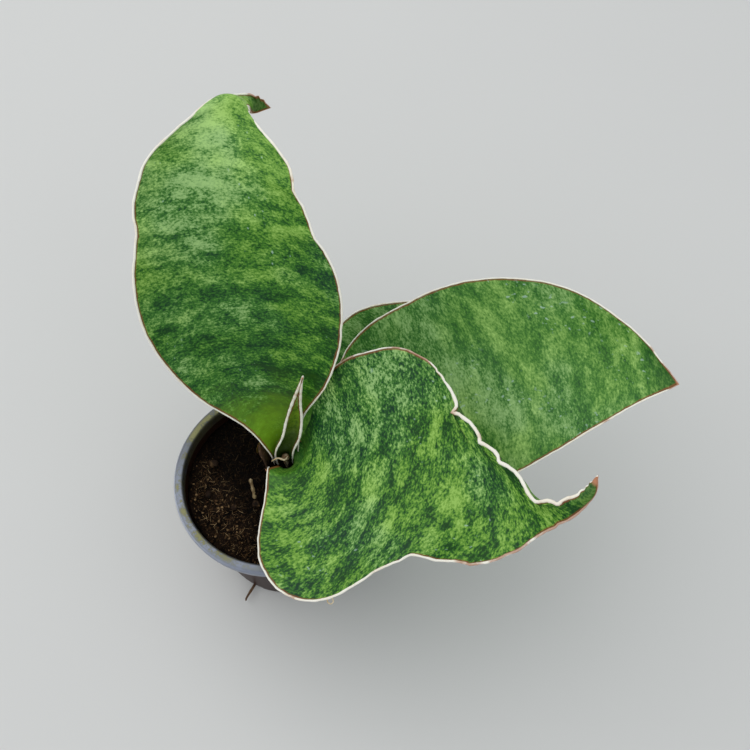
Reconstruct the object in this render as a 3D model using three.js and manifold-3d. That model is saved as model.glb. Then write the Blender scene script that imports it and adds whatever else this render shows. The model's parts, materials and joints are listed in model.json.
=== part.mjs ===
// A young broad-leaved snake plant in a small round nursery pot, in millimetres, +Z up.
// The origin is the middle of the pot's underside. Each leaf is a thin lens-shaped solid lofted
// over three rails: its left margin, its middle line and its right margin.
import * as THREE from "three";
import { ParametricGeometry } from "three/addons/geometries/ParametricGeometry.js";
import { mergeVertices } from "three/addons/utils/BufferGeometryUtils.js";
import Module from "manifold-3d";

const wasm = await Module();
wasm.setup();

// ---- Driving dimensions ----

// Pot: thin moulded plastic, tapered, with a folded lip and drain slots round its foot.
const potHeight = 52;
const rimDiameter = 60;
const baseDiameter = 42;
const potWall = 0.8;
const lipHeight = 4;
const lipWidth = 3;
const slotCount = 6;
const slotWidth = 6;
const slotHeight = 3;
const slotDepth = 4;
const slotAzimuth = -118;

// Soil and plant
const soilBelowRim = 6;
const soilCrown = 1;
const fitGap = 0.3;
const soilGap = 0.6;
const sheathThickness = 1.2;
const sheathGap = 0.6;
const innerSheathRadius = 1.9;
const sheathFlare = 0.7;
const sheathDepth = 6;
const leafThickness = 1.9;
const tipThickness = 0.9;
const rhizomeDepth = 16;
const rootDiameter = 1.4;
const twigDiameter = 1.2;

// ---- Levels and places that follow from them ----

const rimRadius = rimDiameter / 2;
const baseRadius = baseDiameter / 2;
const soilTop = potHeight - soilBelowRim;
const innerRimRadius = rimRadius - lipWidth;
const crown = new THREE.Vector3(3, 6, soilTop);
const aboveCrown = (x, y, z) => new THREE.Vector3(x, y, z).add(crown);
const radians = THREE.MathUtils.degToRad;

// Inner radius of the pot's tapered wall at a height above the ground.
const wallTop = potHeight - lipHeight;
const wallRadius = (z) =>
  THREE.MathUtils.mapLinear(z, potWall, wallTop, baseRadius - potWall, innerRimRadius);

// ---- Solids ----

// A geometry's faces as a manifold-3d solid, with its shared corners merged.
function solid(geometry) {
  const bare = geometry.clone();
  bare.deleteAttribute("normal");
  bare.deleteAttribute("uv");
  const merged = mergeVertices(bare, 1e-4);
  const corners = merged.index.array;
  const faces = [];
  for (let i = 0; i < corners.length; i += 3) {
    const [a, b, c] = corners.slice(i, i + 3);
    if (a !== b && b !== c && c !== a) faces.push(a, b, c);
  }
  return new wasm.Manifold(
    new wasm.Mesh({
      numProp: 3,
      vertProperties: new Float32Array(merged.attributes.position.array),
      triVerts: new Uint32Array(faces),
    }),
  );
}

// The geometry of a manifold-3d solid.
function geometryOf(body) {
  const mesh = body.getMesh();
  return new THREE.BufferGeometry()
    .setAttribute("position", new THREE.BufferAttribute(mesh.vertProperties, 3))
    .setIndex(new THREE.BufferAttribute(mesh.triVerts, 1));
}

const cut = (body, tools) => tools.reduce((rest, tool) => rest.subtract(tool), body);

// A body turned about the Z axis from a closed [radius, height] outline.
function turned(outline, segments = 48) {
  const points = outline.map(([r, z]) => new THREE.Vector2(r, z));
  return solid(new THREE.LatheGeometry(points, segments).rotateX(Math.PI / 2));
}

// A round rod along a smooth curve through points.
function rod(points, diameter, steps = 8) {
  const ring = new THREE.Shape();
  ring.absarc(0, 0, diameter / 2, 0, 2 * Math.PI);
  return solid(
    new THREE.ExtrudeGeometry(ring, {
      steps,
      curveSegments: 4,
      bevelEnabled: false,
      extrudePath: new THREE.CatmullRomCurve3(points),
    }),
  );
}

// A rounded lump with three half-widths, turned about Z and set at a place.
function lump(halfWidths, turn, place) {
  const geometry = new THREE.IcosahedronGeometry(1, 1);
  geometry.scale(...halfWidths);
  geometry.rotateZ(radians(turn));
  geometry.translate(place.x, place.y, place.z);
  return solid(geometry);
}

// ---- Leaves ----

// A point on the arc through left, middle and right: across runs -1, 0, 1. Where the three are
// nearly in line it is the parabola through them.
function acrossArc([left, middle, right], across) {
  const toLeft = left.clone().sub(middle);
  const toRight = right.clone().sub(middle);
  const normal = toLeft.clone().cross(toRight);
  const straight = normal.lengthSq() < 1e-4 * toLeft.lengthSq() * toRight.lengthSq() + 1e-9;
  if (straight || Math.abs(across) > 1) {
    const half = toRight.clone().sub(toLeft).multiplyScalar(across / 2);
    const bend = toRight.clone().add(toLeft).multiplyScalar((across * across) / 2);
    return middle.clone().add(half).add(bend);
  }
  const centre = new THREE.Vector3()
    .addScaledVector(toLeft.clone().cross(normal), -toRight.lengthSq())
    .addScaledVector(toRight.clone().cross(normal), toLeft.lengthSq())
    .divideScalar(2 * normal.lengthSq());
  if (centre.distanceTo(toLeft) > 1.001 * centre.length()) centre.negate();
  const outward = centre.clone().negate();
  const side = normal.clone().normalize().cross(outward);
  const end = (across < 0 ? toLeft : toRight).clone().sub(centre);
  const angle = Math.abs(across) * Math.atan2(end.dot(side), end.dot(outward));
  return middle
    .clone()
    .add(centre)
    .addScaledVector(outward, Math.cos(angle))
    .addScaledVector(side, Math.sin(angle));
}

// The two rows of a leaf's sheath, where it wraps round the leaves inside it. order counts the
// sheaths from the innermost out, and the azimuths are those of left, middle and right.
function sheathRows(order, azimuths, height) {
  const radius = innerSheathRadius + order * (sheathThickness + sheathGap);
  const row = (r, z) =>
    azimuths.map((a) => aboveCrown(r * Math.cos(radians(a)), r * Math.sin(radians(a)), z));
  return [row(radius, -sheathDepth), row(radius + sheathFlare, height)];
}

// Each row of a leaf is [left, middle, right], measured from the crown at the soil's surface.
const leaves = {
  leaf_left: {
    sheath: [1, [178, 100, 20], 9],
    rows: [
      [[-12, 4, 21], [-3, 10, 21], [6, 7, 20]],
      [[-26, 10, 34], [-6, 16, 33], [13, 11, 33]],
      [[-35, 17, 49], [-7, 25, 47], [18, 18, 49]],
      [[-37, 28, 64], [-9, 35, 59], [17, 27, 63]],
      [[-35, 38, 73], [-10, 45, 69], [10, 38, 72]],
      [[-33, 50, 80], [-11, 56, 76], [5, 49, 79]],
      [[-26, 60, 82], [-12, 66, 79], [-1, 59, 81]],
      [[-18, 71, 81], [-11, 72, 81], [-6, 68, 80]],
      [[-14, 75, 79], [-10, 75, 78], [-7, 73, 78]],
      [[-6, 79, 75], [-6, 78, 72], [-7, 76, 71]],
    ],
    tip: [-2, 78, 71],
    steps: 30,
    colour: "#3f6b2c",
  },
  leaf_front: {
    sheath: [2, [42, -45, -138], 8],
    rows: [
      [[8, 7, 18], [7, -6, 12], [-5, -14, 8]],
      [[11, 12, 28], [12, -7, 15], [-6, -28, 9]],
      [[15, 15, 35], [19, -8, 19], [-3, -38, 10]],
      [[23, 17, 40], [27, -10, 24], [8, -45, 13]],
      [[35, 18, 41], [37, -11, 28], [21, -43, 18]],
      [[46, 8, 42], [47, -14, 32], [35, -37, 25]],
      [[50, -2, 41], [56, -17, 35], [48, -38, 26]],
      [[57, -12, 41], [63, -22, 37], [60, -39, 32]],
      [[65, -22, 42], [69, -27, 39], [71, -33, 37]],
      [[74, -28, 44], [76, -29, 43], [78, -31, 42]],
      [[81, -25, 46], [81, -27, 46], [83, -27, 46]],
    ],
    tip: [84, -22, 47],
    steps: 32,
    colour: "#4a7a31",
  },
  leaf_right: {
    sheath: [3, [100, 42, -15], 5],
    rows: [
      [[13, 21, 13], [15, 6, 9], [18, -4, 7]],
      [[20, 32, 20], [29, 12, 13], [34, -10, 10]],
      [[34, 40, 27], [43, 17, 18], [50, -13, 15]],
      [[48, 43, 33], [61, 18, 25], [65, -12, 22]],
      [[66, 43, 38], [76, 18, 30], [79, -6, 28]],
      [[83, 37, 42], [90, 17, 34], [90, -1, 33]],
      [[98, 24, 43], [101, 13, 38], [101, 4, 37]],
      [[106, 13, 42], [107, 9, 40], [107, 6, 40]],
    ],
    tip: [110, 7, 41],
    steps: 25,
    colour: "#41702f",
  },
  leaf_back: {
    sheath: [4, [150, 100, 52], 4],
    rows: [
      [[3, 20, 11], [12, 17, 9], [19, 12, 8]],
      [[12, 34, 15], [22, 27, 12], [32, 18, 10]],
      [[21, 42, 20], [34, 33, 15], [44, 25, 12]],
      [[35, 44, 23], [44, 35, 19], [52, 30, 16]],
      [[48, 42, 24], [53, 35, 22], [56, 32, 21]],
    ],
    tip: [59, 34, 23],
    steps: 18,
    colour: "#3c6a30",
  },
  leaf_young: {
    sheath: [0, [188, 95, 0], 9],
    rows: [
      [[0, 1.5, 17], [2.5, 4, 16.5], [5, 1.5, 17]],
      [[1.5, 4, 23], [3.5, 6, 22.5], [6, 4, 23]],
      [[3.5, 6, 30], [4.5, 7, 29.5], [6, 6, 30]],
      [[5.5, 7, 37], [6, 7.5, 37], [6.5, 7, 37]],
    ],
    tip: [7.5, 8, 44],
    steps: 16,
    colour: "#5c7d24",
  },
  dried_sheath: {
    sheath: [2, [212, 180, 150], 8],
    rows: [[[-6, -2, 10], [-7, 0.5, 10.5], [-6, 3, 10]]],
    tip: [-7, 1, 13],
    steps: 8,
    colour: "#6b4a2a",
  },
};

const stepsAround = 16;

// The closed solid of a leaf. grow makes it thicker and wider all round, for a clearance cut.
function leafSolid({ sheath, rows, tip, steps }, grow = 0) {
  const all = [
    ...sheathRows(...sheath),
    ...rows.map((row) => row.map((point) => aboveCrown(...point))),
    [0, 1, 2].map(() => aboveCrown(...tip)),
  ];
  const rails = [0, 1, 2].map(
    (side) => new THREE.CatmullRomCurve3(all.map((row) => row[side]), false, "catmullrom", 0.5),
  );
  const middle = (along, across) =>
    acrossArc(rails.map((rail) => rail.getPoint(along)), across);
  // The directions along the leaf, across it and out of its upper face.
  const directions = (along, across) => {
    const u = THREE.MathUtils.clamp(along, 0.01, 0.98);
    const v = THREE.MathUtils.clamp(across, -0.95, 0.95);
    const forward = middle(u + 0.01, v).sub(middle(u - 0.01, v)).normalize();
    const sideways = middle(u, v + 0.05).sub(middle(u, v - 0.05)).normalize();
    return { forward, sideways, normal: sideways.clone().cross(forward).normalize() };
  };
  const sheathEnd = 1 / (all.length - 1);
  const halfThickness = (along) => {
    const grown = THREE.MathUtils.smoothstep(along, sheathEnd, 3 * sheathEnd);
    const full = THREE.MathUtils.lerp(sheathThickness, leafThickness, grown);
    const thin = THREE.MathUtils.smoothstep(along, 0.6, 1);
    return THREE.MathUtils.lerp(full, tipThickness, thin) / 2;
  };
  const surface = (round, along, target) => {
    const angle = -2 * Math.PI * round;
    const across = Math.cos(angle);
    const { forward, sideways, normal } = directions(along, across);
    target.copy(middle(along, across)).addScaledVector(sideways, grow * across);
    if (along <= 0) target.addScaledVector(forward, -3 * grow);
    else if (along >= 1) target.addScaledVector(forward, grow);
    else target.addScaledVector(normal, (halfThickness(along) + grow) * Math.sin(angle));
  };
  return solid(new ParametricGeometry(surface, stepsAround, steps));
}

// ---- Pot ----

function potSolid() {
  const body = turned([
    [0, 0],
    [baseRadius - potWall, 0],
    [baseRadius, potWall],
    [innerRimRadius + potWall, wallTop],
    [rimRadius - potWall / 2, wallTop],
    [rimRadius, potHeight - potWall],
    [rimRadius - potWall, potHeight],
    [innerRimRadius, potHeight],
    [innerRimRadius, wallTop],
    [baseRadius - potWall, potWall],
    [0, potWall],
  ]);
  return cut(body, slots());
}

const slotAngles = Array.from({ length: slotCount }, (_, i) => slotAzimuth + (360 / slotCount) * i);

// Boxes that cut the drain slots out of the corner between wall and floor.
function slots() {
  const length = 2 * slotDepth;
  const place = baseRadius;
  return slotAngles.map((angle) => {
    const box = new THREE.BoxGeometry(length, slotWidth, 2 * slotHeight);
    box.translate(place, 0, 0);
    box.rotateZ(radians(angle));
    return solid(box);
  });
}

// ---- Soil and what lies in it ----

const soilFloor = potWall + fitGap;

function soilBody() {
  const edge = (z) => wallRadius(z) - fitGap;
  return turned(
    [
      [0, soilFloor],
      [edge(soilFloor), soilFloor],
      [edge(soilTop), soilTop],
      [0.6 * edge(soilTop), soilTop + 0.6 * soilCrown],
      [0, soilTop + soilCrown],
    ],
  );
}

const rhizomeTop = -sheathDepth - fitGap;
const rhizomeRadius = innerSheathRadius + 4 * (sheathThickness + sheathGap) + sheathThickness / 2;

function rhizomeSolid(grow = 0) {
  const bottom = rhizomeTop - rhizomeDepth;
  const outline = [
    [0, bottom - grow],
    [0.45 * rhizomeRadius + grow, bottom + 1 - grow],
    [0.75 * rhizomeRadius + grow, bottom + 0.4 * rhizomeDepth],
    [rhizomeRadius + grow, rhizomeTop - 0.15 * rhizomeDepth],
    [rhizomeRadius + grow, rhizomeTop + grow],
    [0, rhizomeTop + grow],
  ];
  return turned(outline, 20).translate(crown.toArray());
}

// Roots leave the rhizome's side, arch out towards the wall and go down. The last one runs out
// through the first drain slot.
const slotDirection = new THREE.Vector2(
  Math.cos(radians(slotAzimuth)),
  Math.sin(radians(slotAzimuth)),
);
const rootStart = 0.75 * rhizomeRadius + 2 * fitGap;

function wallRootPoints(azimuth, endHeight) {
  const level = soilTop + rhizomeTop - 0.6 * rhizomeDepth;
  const direction = new THREE.Vector2(Math.cos(radians(azimuth)), Math.sin(radians(azimuth)));
  const near = new THREE.Vector2(crown.x, crown.y).addScaledVector(direction, rootStart);
  const far = direction.clone().multiplyScalar(wallRadius(endHeight) - fitGap - 2 * rootDiameter);
  const at = (share, z) => {
    const flat = near.clone().lerp(far, share);
    return new THREE.Vector3(flat.x, flat.y, z);
  };
  return [at(0, level), at(0.5, level - 1), at(0.9, (level + endHeight) / 2), at(1, endHeight)];
}

const drainRootEnd = 5;

function drainRootPoints() {
  const level = soilTop + rhizomeTop - 0.6 * rhizomeDepth;
  const middleOfSlot = slotHeight / 2;
  const at = (r, z) => new THREE.Vector3(slotDirection.x * r, slotDirection.y * r, z);
  const start = new THREE.Vector3(crown.x, crown.y, level);
  start.x += slotDirection.x * rootStart;
  start.y += slotDirection.y * rootStart;
  return [
    start,
    at(baseRadius - 3 * slotDepth, level / 2),
    at(baseRadius - slotDepth, middleOfSlot + 1),
    at(baseRadius, middleOfSlot),
    at(baseRadius + drainRootEnd, middleOfSlot + 0.3),
  ];
}

const roots = {
  root_1: wallRootPoints(20, 14),
  root_2: wallRootPoints(95, 10),
  root_3: wallRootPoints(165, 16),
  root_4: wallRootPoints(-60, 9),
  root_5: drainRootPoints(),
};

const twig = [
  aboveCrown(-9, -11, -0.2),
  aboveCrown(-9.6, -8.5, 1.4),
  aboveCrown(-10.5, -5.5, 2.6),
];

// A rod's channel through the soil, rounded out past both of the rod's ends.
function channel(points, diameter) {
  const radius = diameter / 2 + fitGap;
  const end = (place) => lump([radius, radius, radius].map((half) => 1.2 * half), 0, place);
  return [rod(points, 2 * radius), end(points[0]), end(points.at(-1))];
}

// The dried stub of an old shoot that stands in the hollow between the sheaths.
function budSolid(grow = 0) {
  const outline = [
    [0, -1 - grow],
    [0.5 + grow, -1 - grow],
    [0.7 + grow, 3],
    [1.1 + grow, 6.2],
    [0.7 + grow, 7.6],
    [0, 8 + grow],
  ];
  return turned(outline, 10).translate(aboveCrown(0.3, -0.5, 0).toArray());
}

// Loose bits of bark on the soil: half-widths, turn and place from the crown.
const barkBits = {
  bark_1: [[1.5, 1, 0.8], 30, aboveCrown(-22, 0, 1)],
  bark_2: [[1.2, 0.9, 0.7], 100, aboveCrown(-23, -10, 0.8)],
  bark_3: [[1.3, 1, 0.7], -20, aboveCrown(-8.5, -13, 1)],
  bark_4: [[1.1, 0.8, 0.6], 60, aboveCrown(-15, -14, 0.9)],
};

// ---- The assembly ----

const plantSolids = Object.entries(leaves).map(([name, leaf]) => [
  name,
  leafSolid(leaf),
  leaf.colour,
  0.45,
]);
const rootSolids = Object.entries(roots).map(([name, points]) => [
  name,
  rod(points, rootDiameter),
  "#7a6248",
  0.8,
]);
const barkSolids = Object.entries(barkBits).map(([name, [size, turn, place]]) => [
  name,
  lump(size, turn, place),
  "#6e5138",
  0.9,
]);

// The crumbs that the cuts leave between the sheaths are dropped: the bulk of the soil is one body.
const bulkOf = (body) => body.decompose().reduce((a, b) => (a.volume() > b.volume() ? a : b));

const soilWithPockets = cut(soilBody(), [
  ...Object.values(leaves).map((leaf) => leafSolid(leaf, soilGap)),
  rhizomeSolid(2 * fitGap),
  ...Object.values(roots).flatMap((points) => channel(points, rootDiameter)),
  ...channel(twig, twigDiameter),
  budSolid(soilGap),
  ...Object.values(barkBits).map(([size, turn, place]) =>
    lump(size.map((half) => half + fitGap), turn, place),
  ),
]);

const pieces = [
  ["pot", potSolid(), "#a9b3bd", 0.4],
  ["soil", bulkOf(soilWithPockets), "#2a1d14", 0.95],
  ["rhizome", rhizomeSolid(), "#b08a5a", 0.7],
  ["twig", rod(twig, twigDiameter), "#a08a62", 0.85],
  ["dried_bud", budSolid(), "#5a3d26", 0.9],
  ...plantSolids,
  ...rootSolids,
  ...barkSolids,
];

const group = new THREE.Group();
for (const [name, body, color, roughness] of pieces) {
  const material = new THREE.MeshStandardMaterial({ color, roughness, metalness: 0 });
  const mesh = new THREE.Mesh(geometryOf(body), material);
  mesh.name = name;
  group.add(mesh);
}

export default group;
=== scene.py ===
# %% [markdown]
# # A snake plant in a small clear pot
# A young broad-leaved snake plant stands in a clear plastic nursery pot of dark peat. Five leaves
# rise from one crown. The solid model says where everything is, so it is loaded first and every
# visible piece is built around it, in metres.

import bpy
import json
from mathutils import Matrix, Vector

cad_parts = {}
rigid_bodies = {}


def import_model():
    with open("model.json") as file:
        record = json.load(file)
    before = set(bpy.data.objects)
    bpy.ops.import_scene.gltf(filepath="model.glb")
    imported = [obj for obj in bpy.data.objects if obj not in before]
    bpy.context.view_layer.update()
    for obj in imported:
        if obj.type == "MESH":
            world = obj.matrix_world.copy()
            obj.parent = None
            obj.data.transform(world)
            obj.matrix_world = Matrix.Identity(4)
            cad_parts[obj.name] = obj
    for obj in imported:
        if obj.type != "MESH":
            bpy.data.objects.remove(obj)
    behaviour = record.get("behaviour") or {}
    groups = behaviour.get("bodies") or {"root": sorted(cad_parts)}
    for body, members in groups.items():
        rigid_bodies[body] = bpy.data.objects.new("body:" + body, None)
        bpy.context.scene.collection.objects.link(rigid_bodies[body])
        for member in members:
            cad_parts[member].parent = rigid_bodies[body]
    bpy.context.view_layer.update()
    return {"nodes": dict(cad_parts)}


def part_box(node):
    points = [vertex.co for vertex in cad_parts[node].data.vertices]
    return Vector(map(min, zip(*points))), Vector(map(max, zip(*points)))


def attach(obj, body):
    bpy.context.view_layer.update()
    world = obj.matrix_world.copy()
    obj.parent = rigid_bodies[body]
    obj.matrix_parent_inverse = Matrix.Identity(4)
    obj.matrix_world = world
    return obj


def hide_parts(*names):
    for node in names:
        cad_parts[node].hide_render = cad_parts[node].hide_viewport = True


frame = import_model()
print("solid model:", sorted(frame["nodes"]))

# %% The modules and the units
import json
import math

import bmesh
import bpy
import numpy as np
from mathutils import Vector, noise

MM = 0.001
scene = bpy.context.scene


def metres(points):
    """Points written in millimetres, as an array in metres."""
    return np.asarray(points, float) * MM


# %% [markdown]
# ## Camera, floor and light
# A camera close above the plant looks steeply down, so the leaves hide half of the pot. The floor
# is a plain pale sheet. One large soft lamp stands high on the left and a little behind, and a pale
# sky fills the shadows, as a window and a white room would do.

# %% Camera
CAMERA_PLACE = (0.0300, -0.1149, 0.3436)
CAMERA_TILT = math.radians(27)

camera_data = bpy.data.cameras.new("camera")
camera_data.sensor_width = 36
camera_data.lens = 50.4
camera_data.clip_start = 0.01
camera = bpy.data.objects.new("camera", camera_data)
camera.location = CAMERA_PLACE
camera.rotation_euler = (CAMERA_TILT, 0, 0)
scene.collection.objects.link(camera)
scene.camera = camera
scene.view_settings.view_transform = "Standard"
print("camera", CAMERA_PLACE, "looks", round(90 - math.degrees(CAMERA_TILT)), "degrees down")


# %% Lamps and sky
def soft_lamp(name, direction, distance, size, power, colour):
    """A square lamp that shines at the middle of the plant from a direction."""
    target = Vector((0.03, 0.01, 0.06))
    towards = Vector(direction).normalized()
    data = bpy.data.lights.new(name, "AREA")
    data.size = size
    data.energy = power
    data.color = colour
    lamp = bpy.data.objects.new(name, data)
    lamp.location = target + towards * distance
    lamp.rotation_euler = towards.to_track_quat("Z", "Y").to_euler()
    scene.collection.objects.link(lamp)
    print("lamp", name, power, "W")


soft_lamp("window", (-0.45, 0.25, 0.86), 1.1, 1.5, 6.6, (1.0, 0.99, 0.965))
soft_lamp("room", (0.7, -0.5, 0.7), 1.6, 1.2, 1.2, (0.94, 0.97, 1.0))
sky = bpy.data.worlds.new("sky")
sky.use_nodes = True
sky.node_tree.nodes["Background"].inputs["Color"].default_value = (0.93, 0.965, 1.0, 1)
sky.node_tree.nodes["Background"].inputs["Strength"].default_value = 0.62
scene.world = sky

# %% [markdown]
# ## Writing node trees as arithmetic
# A material and a Geometry Nodes tree are both graphs of nodes. Wiring one by hand takes many
# lines, so a small class wraps a socket and lets Python's own + - * / draw the Math nodes, and one
# method adds any other node: its settings first, then its values and links.


# %% A socket that does arithmetic
class Value:
    """One output socket of a node tree, on which arithmetic adds Math nodes."""

    def __init__(self, sketch, socket):
        self.sketch = sketch
        self.socket = socket

    def math(self, operation, *terms):
        return self.sketch.node("ShaderNodeMath", {"operation": operation}, dict(enumerate(terms)))

    def __add__(self, other):
        return self.math("ADD", self, other)

    def __sub__(self, other):
        return self.math("SUBTRACT", self, other)

    def __rsub__(self, other):
        return self.math("SUBTRACT", other, self)

    def __mul__(self, other):
        return self.math("MULTIPLY", self, other)

    def __truediv__(self, other):
        return self.math("DIVIDE", self, other)

    def __gt__(self, other):
        return self.math("GREATER_THAN", self, other)

    def __lt__(self, other):
        return self.math("LESS_THAN", self, other)

    def __abs__(self):
        return self.math("ABSOLUTE", self)

    __radd__ = __add__
    __rmul__ = __mul__

    def between(self, low, high):
        """0 up to low, 1 from high on, and smooth between them."""
        return self.sketch.node("ShaderNodeMapRange", {"interpolation_type": "SMOOTHSTEP"},
                                Value=self, From_Min=low, From_Max=high)

    def output(self, name):
        """Another output of the same node."""
        return Value(self.sketch, self.socket.node.outputs[name])


class Sketch:
    """A node tree that is drawn one node at a time."""

    def __init__(self, tree):
        self.tree = tree

    def node(self, kind, settings=None, numbered=None, output=0, **named):
        """Adds a node. An underscore in a named input is a space in its socket's name."""
        made = self.tree.nodes.new(kind)
        for name, setting in (settings or {}).items():
            setattr(made, name, setting)
        spaced = {name.replace("_", " "): value for name, value in named.items()}
        for name, value in {**(numbered or {}), **spaced}.items():
            self.feed(made.inputs[name], value)
        return Value(self, made.outputs[output])

    def feed(self, socket, value):
        if isinstance(value, Value):
            self.tree.links.new(value.socket, socket)
        else:
            socket.default_value = value

    def noise(self, vector, scale, detail=2.0, roughness=0.5, distortion=0.0):
        """Smooth noise from 0 to 1 whose features are about 1 / scale across."""
        return self.node("ShaderNodeTexNoise", output="Fac", Vector=vector, Scale=scale,
                         Detail=detail, Roughness=roughness, Distortion=distortion)

    def vector(self, **parts):
        return self.node("ShaderNodeCombineXYZ", **parts)

    def parts_of(self, vector):
        """The x, y and z of a vector."""
        x = self.node("ShaderNodeSeparateXYZ", {}, {0: vector}, "X")
        return x, x.output("Y"), x.output("Z")


# %% [markdown]
# ## Materials
# Every finish ends in one Principled shader. What is the same all over is set on the shader's own
# sockets. What changes over the surface, such as colour, roughness and relief, is linked. Colours
# are written as they are seen on a screen, 0 to 255.

# %% A finish
SOIL_SHADE_ACROSS = (0.8, 0.6)
SOIL_SHADE_EDGE = (-19 * MM, -7 * MM)


def linear(red, green, blue):
    """A colour as it is seen on a screen, as the shader's linear colour."""
    shares = [channel / 255 for channel in (red, green, blue)]
    curve = [c / 12.92 if c <= 0.04045 else ((c + 0.055) / 1.055) ** 2.4 for c in shares]
    return (*curve, 1.0)


class Finish(Sketch):
    """One procedural material."""

    def __init__(self, name):
        self.material = bpy.data.materials.new(name)
        self.material.use_nodes = True
        super().__init__(self.material.node_tree)
        self.tree.nodes.clear()

    def object_place(self):
        return self.node("ShaderNodeTexCoord", output="Object")

    def measure(self, name):
        """A number that is stored on the mesh."""
        return self.node("ShaderNodeAttribute", {"attribute_name": name}, output="Fac")

    def stretched(self, vector, scale, shift=(0, 0, 0)):
        return self.node("ShaderNodeMapping", Vector=vector, Location=shift, Scale=scale)

    def blend(self, share, first, second):
        """Goes from the first colour to the second as share goes from 0 to 1."""
        first, second = (linear(*c) if isinstance(c, tuple) else c for c in (first, second))
        return self.node("ShaderNodeMix", {"data_type": "RGBA"}, {0: share, 6: first, 7: second}, 2)

    def layered(self, colour, *coats):
        """Lays coats over a colour. Each coat is how much of it shows, and its colour."""
        for share, coat in coats:
            colour = self.blend(share, colour, coat)
        return colour

    def relief(self, height, depth, strength=1.0):
        """A bump whose full height is depth metres."""
        return self.node("ShaderNodeBump", Strength=strength, Distance=depth, Height=height)

    def painted_crown_shadow(self, place):
        """A painted shadow: how deep in the crown's shade the soil lies, from 0 at the far left to 1."""
        x, y, _ = self.parts_of(place)
        return (x * SOIL_SHADE_ACROSS[0] + y * SOIL_SHADE_ACROSS[1]).between(*SOIL_SHADE_EDGE)

    def shade(self, **inputs):
        shader = self.node("ShaderNodeBsdfPrincipled", **inputs)
        ending = self.tree.nodes.new("ShaderNodeOutputMaterial")
        self.feed(ending.inputs["Surface"], shader)
        print("finish", self.material.name, "with", len(self.tree.nodes), "nodes")
        return self.material


# %% The floor
floor_finish = Finish("pale_floor")
floor_grain = floor_finish.noise(floor_finish.object_place(), 6, 3)
floor_colour = floor_finish.blend(floor_grain, (215, 215, 213), (219, 219, 217))
floor_mesh = bpy.data.meshes.new("floor")
floor_mesh.from_pydata([(-3, -3, 0), (3, -3, 0), (3, 3, 0), (-3, 3, 0)], [], [(0, 1, 2, 3)])
floor_mesh.materials.append(floor_finish.shade(Base_Color=floor_colour, Roughness=0.9))
floor = bpy.data.objects.new("floor", floor_mesh)
scene.collection.objects.link(floor)


# %% [markdown]
# ## From numbers to pieces
# A piece is a plain mesh whose object stays at the origin. Its doubles are merged, and a closed
# mesh with a negative volume is inside out, so it is turned.


# %% Making a piece
MERGE_DISTANCE = 2e-6


def piece_from(name, mesh, material, replaced=(), sharp=None):
    """Tidies a mesh, gives it its finish and makes it a piece that rides on the plant."""
    body = bmesh.new()
    body.from_mesh(mesh)
    bmesh.ops.remove_doubles(body, verts=body.verts, dist=MERGE_DISTANCE)
    if body.calc_volume(signed=True) < 0:
        bmesh.ops.reverse_faces(body, faces=body.faces)
    open_edges = sum(1 for edge in body.edges if not edge.is_manifold)
    body.to_mesh(mesh)
    body.free()
    mesh.polygons.foreach_set("use_smooth", [True] * len(mesh.polygons))
    if sharp is not None:
        mesh.set_sharp_from_angle(angle=math.radians(sharp))
    if material is not None:
        mesh.materials.clear()
        mesh.materials.append(material)
    mesh.name = name
    piece = bpy.data.objects.new(name, mesh)
    scene.collection.objects.link(piece)
    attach(piece, "root")
    if replaced:
        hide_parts(*replaced)
    mesh.calc_loop_triangles()
    print(f"{name}: {len(mesh.loop_triangles)} triangles, {open_edges} open edges")
    return piece


def store(mesh, name, numbers):
    """Keeps one number for each vertex of a mesh."""
    layer = mesh.attributes.new(name, "FLOAT", "POINT")
    layer.data.foreach_set("value", np.asarray(numbers, np.float32).ravel())


# %% Geometry Nodes: a tree with named inputs, and what it makes
class Recipe(Sketch):
    """A Geometry Nodes tree, whose inputs are read as recipe["Name"]. It makes plain meshes."""

    def __init__(self, name, **inputs):
        super().__init__(bpy.data.node_groups.new(name, "GeometryNodeTree"))
        face = self.tree.interface
        face.new_socket("Geometry", in_out="OUTPUT", socket_type="NodeSocketGeometry")
        self.names = {}
        for label, kind in {"Geometry": "Geometry", **inputs}.items():
            kind = "NodeSocket" + kind
            made = face.new_socket(label.replace("_", " "), in_out="INPUT", socket_type=kind)
            self.names[label] = made.identifier
        self.given = self.tree.nodes.new("NodeGroupInput")
        self.result = self.tree.nodes.new("NodeGroupOutput")

    def __getitem__(self, label):
        return Value(self, self.given.outputs[label])

    def place(self):
        return self.node("GeometryNodeInputPosition")

    def turn(self, **angles):
        """A rotation by angles about X, Y and Z."""
        return self.node("FunctionNodeEulerToRotation", {}, {0: self.vector(**angles)})

    def random(self, low, high, seed):
        """A random number for each point, the same in every run."""
        return self.node("FunctionNodeRandomValue", {}, {2: low, 3: high, "Seed": seed}, 1)

    def end(self, geometry, *painted):
        """Realizes the instances, sets the materials and ends the tree."""
        geometry = self.node("GeometryNodeRealizeInstances", Geometry=geometry)
        for material, selection in painted or ((self["Material"], True),):
            geometry = self.node("GeometryNodeSetMaterial", Geometry=geometry,
                                 Selection=selection, Material=material)
        self.feed(self.result.inputs["Geometry"], geometry)
        print("recipe", self.tree.name, "with", len(self.tree.nodes), "nodes")

    def make(self, mesh, **values):
        """Runs the tree on a mesh and returns the result as a new plain mesh."""
        carrier = bpy.data.objects.new("carrier", mesh)
        scene.collection.objects.link(carrier)
        modifier = carrier.modifiers.new("recipe", "NODES")
        modifier.node_group = self.tree
        for label, value in values.items():
            modifier[self.names[label]] = value
        evaluated = carrier.evaluated_get(bpy.context.evaluated_depsgraph_get())
        made = bpy.data.meshes.new_from_object(evaluated)
        carrier.modifiers.remove(modifier)
        bpy.data.objects.remove(carrier)
        return made


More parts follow.
